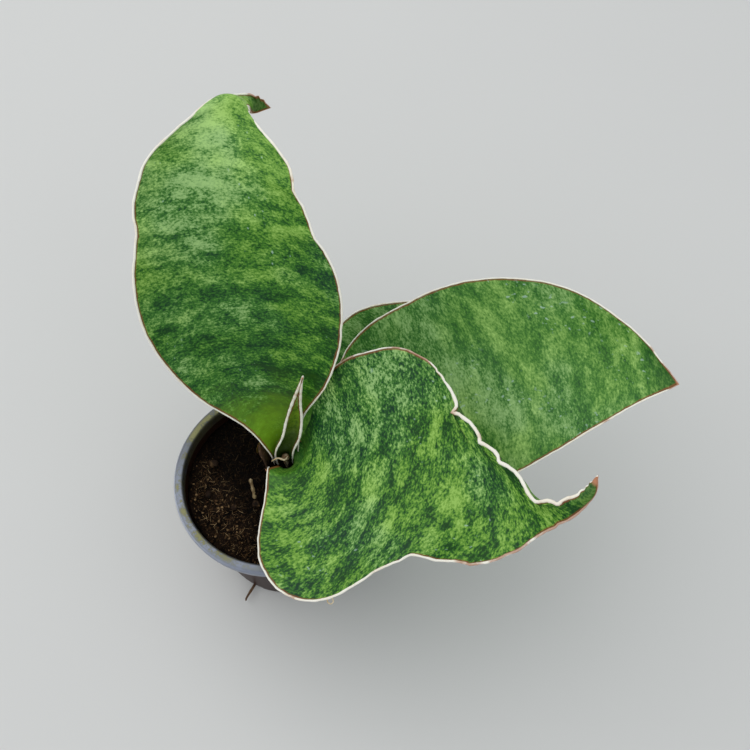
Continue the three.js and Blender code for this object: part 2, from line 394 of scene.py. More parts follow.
# %% [markdown]
# ## The shape of a leaf
# A leaf of this plant is one stiff blade that starts as a sheath round its neighbours, opens into
# a trough and ends in a point. It could be sculpted, but a rule holds it better: three rails run
# from the crown to the tip, one along each margin and one along the middle, and across them the
# blade is a circular arc. The solid model's leaves follow the same rails. Each row below is one
# place along the leaf, as its left margin, middle and right margin in millimetres from the crown.

# %% The crown and the sheaths
CROWN = metres((3, 6, 46))
SHEATH_START = -6
SHEATH_INNERMOST = 1.9
SHEATH_STEP = 1.8
SHEATH_FLARE = 0.7


def sheath_rows(order, azimuths, height):
    """The two lowest rows of a leaf: arcs round the crown, one outside the other."""
    rows = []
    for flare, level in ((0, SHEATH_START), (SHEATH_FLARE, height)):
        radius = SHEATH_INNERMOST + order * SHEATH_STEP + flare
        turned = [math.radians(azimuth) for azimuth in azimuths]
        rows.append([[radius * math.cos(a), radius * math.sin(a), level] for a in turned])
    return rows


def rail(knots, shares):
    """A smooth curve through the knots, at shares of its length from 0 to 1."""
    knots = np.vstack([2 * knots[0] - knots[1], knots, 2 * knots[-1] - knots[-2]])
    places = np.clip(shares, 0, 1) * (len(knots) - 3)
    first = np.minimum(places.astype(int), len(knots) - 4)
    t = (places - first)[:, None]
    a, b, c, d = (knots[first + step] for step in range(4))
    cubic = 2 * b + (c - a) * t + (2 * a - 5 * b + 4 * c - d) * t**2
    return 0.5 * (cubic + (3 * b - a - 3 * c + d) * t**3)


STRAIGHTEST = 40  # a circle this many blade widths in radius counts as a straight line


def arc_across(left, middle, right, across):
    """Points on the circle through three points, from -1 at the left to 1 at the right."""
    to_left, to_right = left - middle, right - middle
    axis = np.cross(to_left, to_right)
    size = (axis**2).sum(-1, keepdims=True) + 1e-24
    left_square = (to_left**2).sum(-1, keepdims=True)
    right_square = (to_right**2).sum(-1, keepdims=True)
    centre = np.cross(left_square * to_right - right_square * to_left, axis) / (2 * size)
    side = np.where(across[:, None] < 0, -1.0, 1.0)[None]
    ends = np.where(side < 0, to_left[:, None], to_right[:, None])
    start = -centre[:, None]
    ends_out = ends - centre[:, None]
    radius_square = (centre**2).sum(-1)[:, None, None]
    cosine = np.clip((start * ends_out).sum(-1, keepdims=True) / (radius_square + 1e-24), -1, 1)
    angle = np.arccos(cosine)
    turned = angle * np.abs(across)[None, :, None]
    sine = np.maximum(np.sin(angle), 1e-12)
    curved = centre[:, None] + (np.sin(angle - turned) * start + np.sin(turned) * ends_out) / sine
    straight = to_right - to_left
    bulge = (to_left + to_right) / 2
    line = across[None, :, None]
    parabola = line * straight[:, None] / 2 + line**2 * bulge[:, None]
    width_square = (left_square + right_square)[:, None]
    nearly_straight = radius_square > STRAIGHTEST**2 * width_square
    return middle[:, None] + np.where(nearly_straight, parabola, curved)


def smooth(value, low, high):
    """0 up to low, 1 from high on, and smooth between them."""
    share = np.clip((value - low) / (high - low), 0, 1)
    return share * share * (3 - 2 * share)


# %% The blade as a closed skin
SHEATH_THICKNESS = 1.2 * MM
LEAF_THICKNESS = 1.9 * MM
TIP_THICKNESS = 0.9 * MM
LENS_POWER = 0.62
NARROW = 6 * MM
NICK_SIZE = 2.2 * MM
WAVE_SIZE = 9 * MM
RIPPLE_SIZE = 3.5 * MM
ROUND = 72
FINE_STEPS = 260
COARSE_STEPS = 120


def wobble(points, size, seed):
    """Smooth noise from about -1 to 1 at each point, with features of that size."""
    flat = np.asarray(points).reshape(-1, 3) / size + seed
    made = [noise.noise(Vector(point)) for point in flat]
    return np.array(made).reshape(np.asarray(points).shape[:-1])


def unit(vectors):
    return vectors / np.maximum(np.linalg.norm(vectors, axis=-1, keepdims=True), 1e-12)


class Leaf:
    """One leaf: its surface, its two margins and the measures that its finish reads."""

    def __init__(self, rows, seed, steps, scallops=(None, None), waves=0.35, nicks=0.10):
        knots = metres(rows) + CROWN
        self.along = np.linspace(0, 1, steps)
        self.first_free = 1 / (len(rows) - 1)
        rails = [rail(knots[:, side], self.along) for side in range(3)]
        half = ROUND // 2
        self.across = np.cos(np.linspace(math.pi, 0, half + 1))
        surface = arc_across(*rails, self.across)
        sideways = unit(np.gradient(surface, axis=1))
        lengthways = unit(np.gradient(surface, axis=0))
        self.normal = unit(np.cross(sideways, lengthways))
        self.normal[-2:] = self.normal[-3]
        outwards = unit(np.cross(lengthways, self.normal))
        level_out = unit(np.cross(lengthways, (0, 0, 1)))
        widths = np.linalg.norm(rails[2] - rails[0], axis=-1)
        opened = smooth(self.along, self.first_free, 2.5 * self.first_free)
        taper = np.minimum(1, widths / NARROW) * opened
        for side, listed in zip((-1, 1), scallops):
            outer = side * smooth(side * self.across, 0.1, 0.92)[None, :, None]
            nick = nicks * wobble(rails[1 + side], NICK_SIZE, seed + side) * MM
            surface += outwards * outer * (nick * taper)[:, None, None]
            if listed:
                scallop = np.interp(self.along, *np.transpose(listed)) * MM
                surface += level_out * outer * (scallop * taper)[:, None, None]
        edge = 0.25 + 0.75 * np.abs(self.across) ** 3
        ripple = wobble(surface, WAVE_SIZE, seed + 7) * edge[None]
        ripple += 0.35 * wobble(surface, RIPPLE_SIZE, seed + 11) * edge[None]
        surface += self.normal * (ripple * taper[:, None] * waves * MM)[..., None]
        self.surface = surface
        steps_across = np.linalg.norm(np.diff(surface, axis=1), axis=-1)
        walked = np.concatenate([np.zeros((steps, 1)), np.cumsum(steps_across, axis=1)], axis=1)
        self.from_middle = walked - walked[:, [half // 2]]
        self.rim = np.minimum(walked, walked[:, [-1]] - walked)
        steps_along = np.linalg.norm(np.diff(rails[1], axis=0), axis=-1)
        self.length = np.concatenate([[0], np.cumsum(steps_along)])

    def skin(self, thickness=1.0):
        """The closed skin: the upper face out and the lower face back."""
        half = ROUND // 2
        grow = SHEATH_THICKNESS + (LEAF_THICKNESS - SHEATH_THICKNESS) * smooth(
            self.along, self.first_free, 3 * self.first_free
        )
        grow = grow + (TIP_THICKNESS - grow) * smooth(self.along, 0.6, 1)
        lens = (1 - self.across**2) ** LENS_POWER
        ends = smooth(self.along, 0, 0.01) * smooth(1 - self.along, 0, 0.012)
        lift = thickness * (grow * ends)[:, None] * lens[None] / 2
        upper = self.surface + self.normal * lift[..., None]
        lower = self.surface - self.normal * lift[..., None]
        ring = np.concatenate([upper, lower[:, half - 1 : 0 : -1]], axis=1)
        fold = list(range(half + 1)) + list(range(half - 1, 0, -1))
        steps = len(self.along)
        corner = np.arange(steps - 1)[:, None] * ROUND + np.arange(ROUND)[None]
        beside = np.arange(steps - 1)[:, None] * ROUND + (np.arange(ROUND)[None] + 1) % ROUND
        quads = np.stack([corner, beside, beside + ROUND, corner + ROUND], axis=-1)
        mesh = bpy.data.meshes.new("leaf")
        mesh.from_pydata(ring.reshape(-1, 3).tolist(), [], quads.reshape(-1, 4).tolist())
        life = np.repeat(self.along[:, None], ROUND, axis=1)
        upper_side = np.tile(np.arange(ROUND) <= half, (steps, 1))
        store(mesh, "rim", self.rim[:, fold])
        store(mesh, "life", life)
        store(mesh, "upper", upper_side)
        store(mesh, "across", np.tile(self.across[fold], (steps, 1)))
        across = self.from_middle[:, fold] + 0.05
        along = np.repeat(self.length[:, None], ROUND, axis=1)
        spots = np.stack([across, along], axis=-1).reshape(-1, 2)
        corners = np.empty(len(mesh.loops), int)
        mesh.loops.foreach_get("vertex_index", corners)
        mesh.uv_layers.new(name="leaf").data.foreach_set("uv", spots[corners].ravel())
        return mesh

    def edge_path(self, left_from=None):
        """Both margins as one path, from the left foot round the tip to the right foot."""
        foot = int(self.first_free * 0.5 * len(self.along))
        start = foot if left_from is None else int(left_from * len(self.along))
        left = self.surface[start:-1, 0]
        right = self.surface[foot:-1, -1][::-1]
        tip = self.surface[-1:, 0]
        life = np.concatenate([self.along[start:-1], [1.0], self.along[foot:-1][::-1]])
        return np.concatenate([left, tip, right]), life, len(left)


# %% [markdown]
# ## The five leaves
# The rows are the same as the solid model's. The margins of real leaves aren't smooth: small
# scallops and nicks break them. They are lists of (share along, outward millimetres).

# %% The rows
COLLAR_MIDDLE = (0.66, -1.52)
COLLAR_TURNS = np.radians([74, -38, -150])
COLLAR_RINGS = (
    (2.2, -2), (2.25, 3), (2.35, 5.4), (2.8, 6.6), (3.6, 7.2), (4.8, 7.8), (6.0, 8.4), (7.0, 8.8)
)
LEAF_ROWS = {
    "leaf_left": (
        sheath_rows(1, [178, 100, 20], 9),
        [
            [[-12, 4, 21], [-3, 10, 21], [6, 7, 20]],
            [[-26, 10, 34], [-6, 16, 33], [13, 11, 33]],
            [[-35, 17, 49], [-7, 25, 47], [18, 18, 49]],
            [[-37, 28, 64], [-9, 35, 59], [17, 27, 63]],
            [[-35, 38, 73], [-10, 45, 69], [10, 38, 72]],
            [[-33, 50, 80], [-11, 56, 76], [5, 49, 79]],
            [[-26, 60, 82], [-12, 66, 79], [-1, 59, 81]],
            [[-18, 71, 81], [-11, 72, 81], [-6, 68, 80]],
            [[-14, 75, 79], [-10, 75, 78], [-7, 73, 78]],
            [[-6, 79, 75], [-6, 78, 72], [-7, 76, 71]],
        ],
        [-2, 78, 71],
    ),
    "leaf_front": (
        sheath_rows(2, [42, -45, -138], 8),
        [
            [[8, 7, 18], [7, -6, 12], [-5, -14, 8]],
            [[11, 12, 28], [12, -7, 15], [-6, -28, 9]],
            [[15, 15, 35], [19, -8, 19], [-3, -38, 10]],
            [[23, 17, 40], [27, -10, 24], [8, -45, 13]],
            [[35, 18, 41], [37, -11, 28], [21, -43, 18]],
            [[46, 8, 42], [47, -14, 32], [35, -37, 25]],
            [[50, -2, 41], [56, -17, 35], [48, -38, 26]],
            [[57, -12, 41], [63, -22, 37], [60, -39, 32]],
            [[65, -22, 42], [69, -27, 39], [71, -33, 37]],
            [[74, -28, 44], [76, -29, 43], [78, -31, 42]],
            [[81, -25, 46], [81, -27, 46], [83, -27, 46]],
        ],
        [84, -22, 47],
    ),
    "leaf_right": (
        sheath_rows(3, [100, 42, -15], 5),
        [
            [[13, 21, 13], [15, 6, 9], [18, -4, 7]],
            [[20, 32, 20], [29, 12, 13], [34, -10, 10]],
            [[34, 40, 27], [43, 17, 18], [50, -13, 15]],
            [[48, 43, 33], [61, 18, 25], [65, -12, 22]],
            [[66, 43, 38], [76, 18, 30], [79, -6, 28]],
            [[83, 37, 42], [90, 17, 34], [90, -1, 33]],
            [[98, 24, 43], [101, 13, 38], [101, 4, 37]],
            [[106, 13, 42], [107, 9, 40], [107, 6, 40]],
        ],
        [110, 7, 41],
    ),
    "leaf_back": (
        sheath_rows(4, [150, 100, 52], 4),
        [
            [[3, 20, 11], [12, 17, 9], [19, 12, 8]],
            [[12, 34, 15], [22, 27, 12], [32, 18, 10]],
            [[21, 42, 20], [34, 33, 15], [44, 25, 12]],
            [[35, 44, 23], [44, 35, 19], [52, 30, 16]],
            [[48, 42, 24], [53, 35, 22], [56, 32, 21]],
        ],
        [59, 34, 23],
    ),
    "leaf_young": (
        sheath_rows(0, [188, 95, 0], 9),
        [
            [[0, 1.5, 17], [2.5, 4, 16.5], [5, 1.5, 17]],
            [[1.5, 4, 23], [3.5, 6, 22.5], [6, 4, 23]],
            [[3.5, 6, 30], [4.5, 7, 29.5], [6, 6, 30]],
            [[5.5, 7, 37], [6, 7.5, 37], [6.5, 7, 37]],
        ],
        [7.5, 8, 44],
    ),
    "crown_collar": (
        [],
        [
            [
                [COLLAR_MIDDLE[0] + away * math.cos(turn), COLLAR_MIDDLE[1] + away * math.sin(turn), level]
                for turn in COLLAR_TURNS
            ]
            for away, level in COLLAR_RINGS
        ],
        None,
    ),
    "dried_sheath": (
        sheath_rows(2, [212, 180, 150], 8),
        [[[-6, -2, 10], [-7, 0.5, 10.5], [-6, 3, 10]]],
        [-7, 1, 13],
    ),
}
SCALLOPS = {
    "leaf_left": (
        [
            (0, 0), (0.12, -1.2), (0.16, -0.6), (0.18, 0), (0.216, 0.6), (0.26, 0.25),
            (0.317, -0.4), (0.40, -0.25), (0.441, -1.0), (0.48, -0.7), (0.492, -0.2),
            (0.506, 0.75), (0.528, 1.0), (0.564, 0.2), (0.68, 0), (0.705, -0.4),
            (0.737, -0.2), (0.90, 0), (0.915, -0.9), (0.93, 0.2), (0.94, -0.7),
            (0.955, 0.3), (0.97, -0.4), (1, 0),
        ],
        [
            (0, 0), (0.18, 0.35), (0.27, 0.35), (0.30, 0.1), (0.342, -0.45), (0.39, 0),
            (0.46, 0), (0.479, -0.6), (0.503, 0), (0.529, 0), (0.555, -0.9), (0.57, -0.1),
            (0.59, 0.5), (0.637, 0.36), (0.696, -0.28), (0.749, -0.6), (0.765, -0.1),
            (0.79, -0.26), (0.83, -1.4), (0.86, 0), (1, 0),
        ],
    ),
    "leaf_front": (
        [
            (0, 0), (0.48, 0), (0.505, 0.6), (0.517, 0.4), (0.521, -0.1), (0.53, 0.1),
            (0.541, -0.4), (0.556, -0.3), (0.573, 0), (0.59, 0.1), (0.600, -0.3), (0.606, -1.9),
            (0.614, -0.5), (0.637, 0.6), (0.654, 0.7), (0.667, 0.2), (0.675, -0.9),
            (0.686, -0.1), (0.702, 0.65), (0.712, 0.5), (0.720, -0.5), (0.733, 0.6),
            (0.748, 1.0), (0.763, 0.65), (0.776, -0.4), (0.788, -1.4), (0.801, -2.3),
            (0.808, -2.5), (0.822, -0.6), (0.832, -0.4), (0.844, -0.9), (0.854, 0.4),
            (0.870, 0.9), (0.882, 0.2), (0.895, -0.3), (0.905, 0.4), (0.916, -0.4),
            (0.927, 0.6), (0.938, 0.2), (0.95, 1.2), (0.962, 0.2), (0.98, 0.6), (1, 0),
        ],
        [
            (0, 0), (0.06, -0.54), (0.10, 0), (0.215, 0.3), (0.254, 0.3), (0.294, -0.2),
            (0.333, 0.4), (0.364, 0.4), (0.40, 0.25), (0.434, 0.25), (0.469, -0.5),
            (0.493, -0.77), (0.529, 0.13), (0.549, -0.6), (0.565, 0), (0.586, 0.44),
            (0.617, 0.1), (0.641, 0.9), (0.668, 0.45), (0.699, -0.14), (0.723, 0.35),
            (0.754, 0.35), (0.791, 0.8), (0.80, 0.3), (0.849, 0.13), (0.895, -0.37),
            (0.945, -0.26), (1, 0),
        ],
    ),
    "leaf_right": (
        [
            (0, 0), (0.303, -0.3), (0.34, 0.25), (0.419, -0.45), (0.528, 0.5),
            (0.635, -0.2), (0.684, -0.4), (0.73, -0.25), (0.8, 0), (1, 0),
        ],
        [(0, 0), (0.35, 0.15), (0.45, -0.15), (0.6, 0.2), (0.75, -0.2), (0.9, 0.1), (1, 0)],
    ),
}
LEAF_SHAPES = {}
for number, (leaf_name, (sheath, rows, tip)) in enumerate(LEAF_ROWS.items()):
    LEAF_SHAPES[leaf_name] = Leaf(
        sheath + rows + ([[tip] * 3] if tip else []),
        seed=10 * number,
        steps=FINE_STEPS if leaf_name in SCALLOPS else COARSE_STEPS,
        scallops=SCALLOPS.get(leaf_name, (None, None)),
        waves={"leaf_young": 0.1, "crown_collar": 0.1, "dried_sheath": 0.6}.get(leaf_name, 0.35),
        nicks={"leaf_front": 0.16, "dried_sheath": 0.5}.get(leaf_name, 0.10),
    )
    print(leaf_name, "is", round(LEAF_SHAPES[leaf_name].length[-1] / MM), "mm along its middle")

# %% [markdown]
# ## The finish of a leaf
# A snake plant's leaf is banded across: dark blue-green and pale yellow-green bands with ragged
# edges, broken by a fine grain, under a waxy skin. Noise that is stretched across the leaf makes
# the bands, a finer noise frays them, and a very fine one gives the grain. All of it reads the
# leaf's own map, in metres across and along, so the bands turn with the leaf.


# %% Banded leaf skin
CREAM = (255, 251, 238)
RIM_BROWN = (132, 78, 44)
RIM_LINE = 0.62 * MM
LEAF_GREENS = {
    "deep": (6, 54, 32), "dark": (10, 64, 6), "mid": (58, 120, 36), "pale": (176, 218, 122),
    "foot": (112, 164, 34),
}
LEAF_GRAIN = (1100, 1800, 1)
LEAF_CLOUDS = (40, 46, 1)
LEAF_SPECKS = (820, 620, 1)
LEAF_BLOTCHES = (60, 60, 1)
LEAF_WAVES = {"Scale": 40, "Distortion": 7, "Detail": 3, "Detail_Scale": 3, "Detail_Roughness": 0.6}


def leaf_finish(name, seed, greens=None, bands=(70, 200), contrast=1.3, tone=0.0, painted_light_along=0.0,
                across_tone=0.0, zigzag=0.2, fray=1.1, grain=1.5, warmth=0.45, dust_from=0.70,
                painted_highlight=(0.6, 0.0, 0.0), foot_and_shade_ends=(0.12, 0.34), shaded_tip=(1.1, 1.2),
                dry_from=0.97, bare_to=0.0):
    """One argument places a painted highlight: where a paler patch lies, along and across, and how pale it
    is.
    """
    greens = {**LEAF_GREENS, **(greens or {})}
    finish = Finish(name)
    sheet = finish.node("ShaderNodeUVMap", {"uv_map": "leaf"})
    rim, life, upper, across = map(finish.measure, ("rim", "life", "upper", "across"))

    def spread(scale, shift=(0, 0, seed), **look):
        return finish.noise(finish.stretched(sheet, scale, shift), 1, **look)

    fine = spread(LEAF_GRAIN, detail=3, roughness=0.7)
    frayed = spread((bands[0] * 3.6, bands[1] * 3, 1), (seed, seed, 3 * seed), detail=4, roughness=0.7)
    broad = spread((*bands, 1), (seed, 2 * seed, seed), distortion=0.6)
    cloudy = spread(LEAF_CLOUDS, (0, 3, seed))
    specks = spread(LEAF_SPECKS, (4, 0, seed), detail=1)
    blotched = spread(LEAF_BLOTCHES, (9, 0, seed), detail=1)
    waves = finish.node("ShaderNodeTexWave", {"bands_direction": "Y"}, output="Fac",
                        Vector=sheet, Phase_Offset=seed, **LEAF_WAVES)
    # Painted highlight: a paler patch where the light catches the blade.
    painted_highlight_patch = (1 - abs(life - painted_highlight[0]).between(0.05, 0.24)) * (
        1 - abs(across - painted_highlight[1]).between(0.05, 0.6)
    )
    paleness = (
        (broad - 0.5) * contrast
        + (waves - 0.5) * (life.between(0.5, 0.9) * 0.12 + zigzag)
        + (frayed - 0.5) * fray
        + (fine - 0.5) * grain
        # Painted light: the blade can be painted paler towards its tip, where more light falls on it.
        + (life.between(0.05, 0.8) - 0.5) * painted_light_along
        + across * across_tone
        + painted_highlight_patch * painted_highlight[2]
        + (0.5 + tone)
    )
    ashen = cloudy.between(0.50, 0.64) * paleness.between(0.4, 1.0)
    warm = (cloudy - across * 0.06).between(0.58, 0.40) * paleness.between(0.2, 0.8)
    # The foot colour: the real pale base of a blade, and for the young leaf and the collar a painted shade
    # deep in the crown.
    foot_and_recess_shade = (life + (broad - 0.5) * 0.12).between(foot_and_shade_ends[1], foot_and_shade_ends[0])
    dust = specks.between(dust_from, dust_from + 0.08) * blotched.between(0.50, 0.64)
    # Painted shade: the tips are painted dark green, for the shade that lies on them.
    tip_shade = (life + (frayed - 0.5) * 0.1).between(*shaded_tip)
    uneven = (frayed - 0.5) * (0.7 * MM)
    near_rim = (rim + uneven).between(RIM_LINE * 1.35, RIM_LINE * 0.8)
    bare = (across < 0.2) * (life < bare_to)
    dried = (life + (cloudy - 0.5) * 0.03).between(dry_from, dry_from + 0.02)
    colour = finish.layered(
        finish.blend(cloudy.between(0.40, 0.62), greens["dark"], greens["deep"]),
        (paleness.between(-0.12, 0.60), greens["mid"]),
        (paleness.between(0.38, 1.36), greens["pale"]),
        (ashen * 0.55, (150, 190, 128)),
        (warm * warmth, (118, 168, 10)),
        (foot_and_recess_shade * (0.45 + frayed * 0.5), greens["foot"]),
        (dust * 0.6, (176, 206, 190)),
        ((1 - upper) * 0.28, (112, 146, 80)),
        (tip_shade * 0.72, greens["dark"]),
        (near_rim * (0.8 - bare * 0.8), RIM_BROWN),
        (dried, (186, 128, 96)),
    )
    return finish.shade(
        Base_Color=colour,
        Roughness=0.46 + (fine - 0.5) * 0.24 + dried * 0.3,
        Normal=finish.relief(frayed * 0.3 + fine * 0.2 + broad * 0.5, 0.2 * MM, 0.55),
        Specular_IOR_Level=0.22, Coat_Weight=0.03, Coat_Roughness=0.35,
    )


# The dark tip ranges in these looks paint shade on the leaf tips.
LEAF_LOOKS = {
    "leaf_left": {
        "seed": 3.1, "greens": {"foot": (138, 186, 36)}, "bands": (80, 170), "contrast": 1.05,
        # leaf_left is painted paler towards its tip, as painted light.
        "zigzag": 0.28, "fray": 1.4, "grain": 2.1, "warmth": 0.36, "painted_light_along": 0.62,
        # leaf_left's highlight entry below is a painted highlight.
        "across_tone": -0.09, "painted_highlight": (0.64, -0.15, 0.20), "foot_and_shade_ends": (0.10, 0.25),
        "shaded_tip": (0.88, 0.91), "dry_from": 1.1,
    },
    "leaf_front": {
        "seed": 11.7, "greens": {"foot": (84, 138, 44)}, "bands": (80, 170), "contrast": 1.9,
        "tone": -0.04, "zigzag": 0.3, "fray": 1.6, "grain": 3.0, "foot_and_shade_ends": (0.05, 0.16),
        "shaded_tip": (0.80, 0.94), "dry_from": 0.955, "bare_to": 0.27,
    },
    "leaf_right": {
        "seed": 23.3, "bands": (50, 120), "contrast": 0.9, "tone": 0.06, "zigzag": 0.14,
        # leaf_right's highlight entry below is a painted sheen.
        "fray": 1.0, "warmth": 0.15, "dust_from": 0.66, "painted_highlight": (0.40, 0.2, 0.16),
        "foot_and_shade_ends": (0.05, 0.2), "shaded_tip": (0.78, 1.0),
    },
    "leaf_back": {"seed": 31.9, "contrast": 0.7, "tone": 0.06, "foot_and_shade_ends": (0.05, 0.2)},
    "leaf_young": {
        "seed": 41.3, "bands": (90, 200), "contrast": 0.7, "foot_and_shade_ends": (0.28, 0.52),
        "greens": {
            "deep": (36, 74, 14), "dark": (40, 84, 12), "mid": (96, 126, 24),
            # The young leaf's near-black foot green is painted shade, deep in the crown.
            "pale": (136, 154, 50), "foot": (14, 38, 10),
        },
    },
    "crown_collar": {
        # The collar's dark foot green is painted shade, darkening it towards the hole.
        "seed": 53.9, "greens": {"foot": (30, 72, 20)}, "contrast": 1.6, "tone": -0.06,
        "foot_and_shade_ends": (0.45, 0.9), "bare_to": 1.0,
    },
}

# %% The blades and the collar
for leaf_name, look in LEAF_LOOKS.items():
    skin = leaf_finish(leaf_name + "_skin", **look)
    if leaf_name == "crown_collar":
        collar = LEAF_SHAPES[leaf_name].skin(0.5)
        piece_from(leaf_name, collar, skin)
    else:
        slot = "young_leaf" if leaf_name == "leaf_young" else "leaf"
        blade = LEAF_SHAPES[leaf_name].skin()
        piece_from(leaf_name + "_blade", blade, skin, [leaf_name])

# %% [markdown]
# ## Rods that follow a path
# The pale horny margins, the roots, the twig and the loose threads are all thin rods of uneven
# thickness. One Geometry Nodes recipe sweeps a circle along a path: the path is a mesh of edges
# that also says how thick the rod is at each of its points.

# %% The rod recipe
rod_recipe = Recipe("rod_along_a_path", Radius="Float", Unevenness="Float", Grain="Float",
                    Sides="Int", Material="Material")
rod_path = rod_recipe.node("GeometryNodeMeshToCurve", Mesh=rod_recipe["Geometry"])
rod_share = rod_recipe.node("GeometryNodeInputNamedAttribute", {"data_type": "FLOAT"},
                            Name="thickness")
rod_noise = rod_recipe.noise(rod_recipe.place(), rod_recipe["Grain"], 3.0)
rod_swing = (rod_noise - 0.5) * rod_recipe["Unevenness"] * 2 + 1
rod_ring = rod_recipe.node("GeometryNodeCurvePrimitiveCircle", {"mode": "RADIUS"},
                           Resolution=rod_recipe["Sides"], Radius=1.0)
rod_solid = rod_recipe.node(
    "GeometryNodeCurveToMesh", Curve=rod_path, Profile_Curve=rod_ring,
    Scale=rod_share * rod_swing * rod_recipe["Radius"], Fill_Caps=True,
)
rod_recipe.end(rod_solid)


def rod(name, points, radius, material, thickness=1.0, unevenness=0.2, grain=600.0,
        sides=8, replaced=(), measures=None):
    """A rod along points, with the radius in metres and its thickness share at each point."""
    mesh = bpy.data.meshes.new(name)
    count = len(points)
    mesh.from_pydata(np.asarray(points).tolist(), [(i, i + 1) for i in range(count - 1)], [])
    store(mesh, "thickness", np.broadcast_to(thickness, count))
    for label, numbers in (measures or {}).items():
        store(mesh, label, numbers)
    made = rod_recipe.make(mesh, Radius=radius, Unevenness=unevenness, Grain=grain, Sides=sides,
                           Material=material)
    piece_from(name, made, None, replaced)


def swept(points, count=60):
    """A smooth path through points in millimetres from the crown."""
    return rail(metres(points) + CROWN, np.linspace(0, 1, count))


# %% [markdown]
# ## The horny margins
# Each leaf is edged with a thin hard line, cream where it is sound and brown where it has dried.

# %% Margin finish
margin_finish = Finish("horny_margin")
margin_place = margin_finish.object_place()
margin_patches = margin_finish.noise(margin_place, 140, 3, 0.6)
margin_grain = margin_finish.noise(margin_place, 1800, 2, 0.6)
margin_age = margin_patches + margin_finish.measure("dryness") * 0.3
margin_skin = margin_finish.shade(
    Base_Color=margin_finish.layered(
        CREAM,
        (margin_patches.between(0.46, 0.70) * 0.5, (244, 224, 192)),
        (margin_age.between(0.60, 0.74) * 0.75, (176, 112, 78)),
        (margin_grain.between(0.62, 0.8) * 0.25, (150, 100, 66)),
    ),
    Roughness=0.45 + margin_grain * 0.25,
    Normal=margin_finish.relief(margin_grain, 0.08 * MM, 0.6),
    Specular_IOR_Level=0.4,
)

# %% Margins
MARGIN_RADIUS = {
    "leaf_left": 0.32, "leaf_front": 0.33, "leaf_right": 0.22, "leaf_back": 0.24, "leaf_young": 0.40,
}
BARE_LEFT = {"leaf_front": 0.27, "leaf_back": 0.2}
for leaf_name, radius in MARGIN_RADIUS.items():
    path, life, left_count = LEAF_SHAPES[leaf_name].edge_path(BARE_LEFT.get(leaf_name))
    thick = 0.7 + 0.3 * smooth(life, 0.15, 0.4)
    dryness = 0 * life if leaf_name == "leaf_young" else smooth(life, 0.82, 0.95)
    if leaf_name == "leaf_front":
        thick[:left_count] -= 0.35
        thick[:left_count] += 0.85 * smooth(life[:left_count], 0.5, 0.6)
        dryness[left_count:] = smooth(life[left_count:], 0.55, 0.75)
        dryness[:left_count] = 0.5 - 0.5 * smooth(life[:left_count], 0.48, 0.54)
    thick = thick * (1 - 0.4 * smooth(life, 0.84, 0.95))
    if leaf_name == "leaf_left":
        thick = thick * (1 - 0.55 * smooth(life, 0.90, 0.93))
    rod(leaf_name + "_margin", path, radius * MM, margin_skin, thick, 0.55, 620.0,
        measures={"dryness": dryness})

# %% [markdown]
# ## The pot
# The pot is a thin clear plastic cup with a rolled lip, turned round one axis, so a rule makes it:
# the outline is drawn once, each of its points goes round in a circle, and six boxes that repeat
# round the foot cut the drain slots. The corners of the outline are rounded first.


# %% Rounded outlines
def rounded(corners, radii, steps=5):
    """An outline whose corners are rounded. A radius of 0 keeps a corner."""
    corners = [np.array(corner, float) for corner in corners]
    points = []
    for place, (corner, radius) in enumerate(zip(corners, radii)):
        if not radius:
            points.append(corner)
            continue
        before = unit(corners[place - 1] - corner) * radius
        after = unit(corners[place + 1] - corner) * radius
        for t in np.linspace(0, 1, steps):
            points.append(corner + (1 - t) ** 2 * before + t**2 * after)
    return np.array(points)


def filled(points, longest):
    """The same outline with long stretches divided."""
    made = [points[0]]
    for start, end in zip(points, points[1:]):
        pieces = max(1, math.ceil(np.linalg.norm(end - start) / longest))
        made += [start + (end - start) * step / pieces for step in range(1, pieces + 1)]
    return np.array(made)


def outline_mesh(points):
    """Radius and height pairs in millimetres, as a mesh of edges in metres."""
    mesh = bpy.data.meshes.new("outline")
    flat = [(radius * MM, 0, height * MM) for radius, height in points]
    mesh.from_pydata(flat, [(i, i + 1) for i in range(len(flat) - 1)], [])
    return mesh


# %% The turning steps that both recipes share
def turned(recipe):
    """Nodes that turn the outline given to a recipe round the z axis."""
    rows = recipe["Segments"] + 1
    grid = recipe.node("GeometryNodeMeshGrid", Vertices_X=recipe["Points"], Vertices_Y=rows)
    index = recipe.node("GeometryNodeInputIndex")
    column = index.math("FLOOR", (index + 0.25) / rows)
    angle = (index - column * rows) / recipe["Segments"] * (2 * math.pi)
    knot = recipe.node(
        "GeometryNodeSampleIndex", {"data_type": "FLOAT_VECTOR", "domain": "POINT"},
        Geometry=recipe["Geometry"], Value=recipe.place(), Index=column,
    )
    radius, _, height = recipe.parts_of(knot)
    cosine, sine = angle.math("COSINE", angle), angle.math("SINE", angle)
    place = recipe.vector(X=radius * cosine, Y=radius * sine, Z=height)
    round_body = recipe.node("GeometryNodeSetPosition", Geometry=grid, Position=place)
    return recipe.node("GeometryNodeMergeByDistance", Geometry=round_body, Distance=MERGE_DISTANCE)


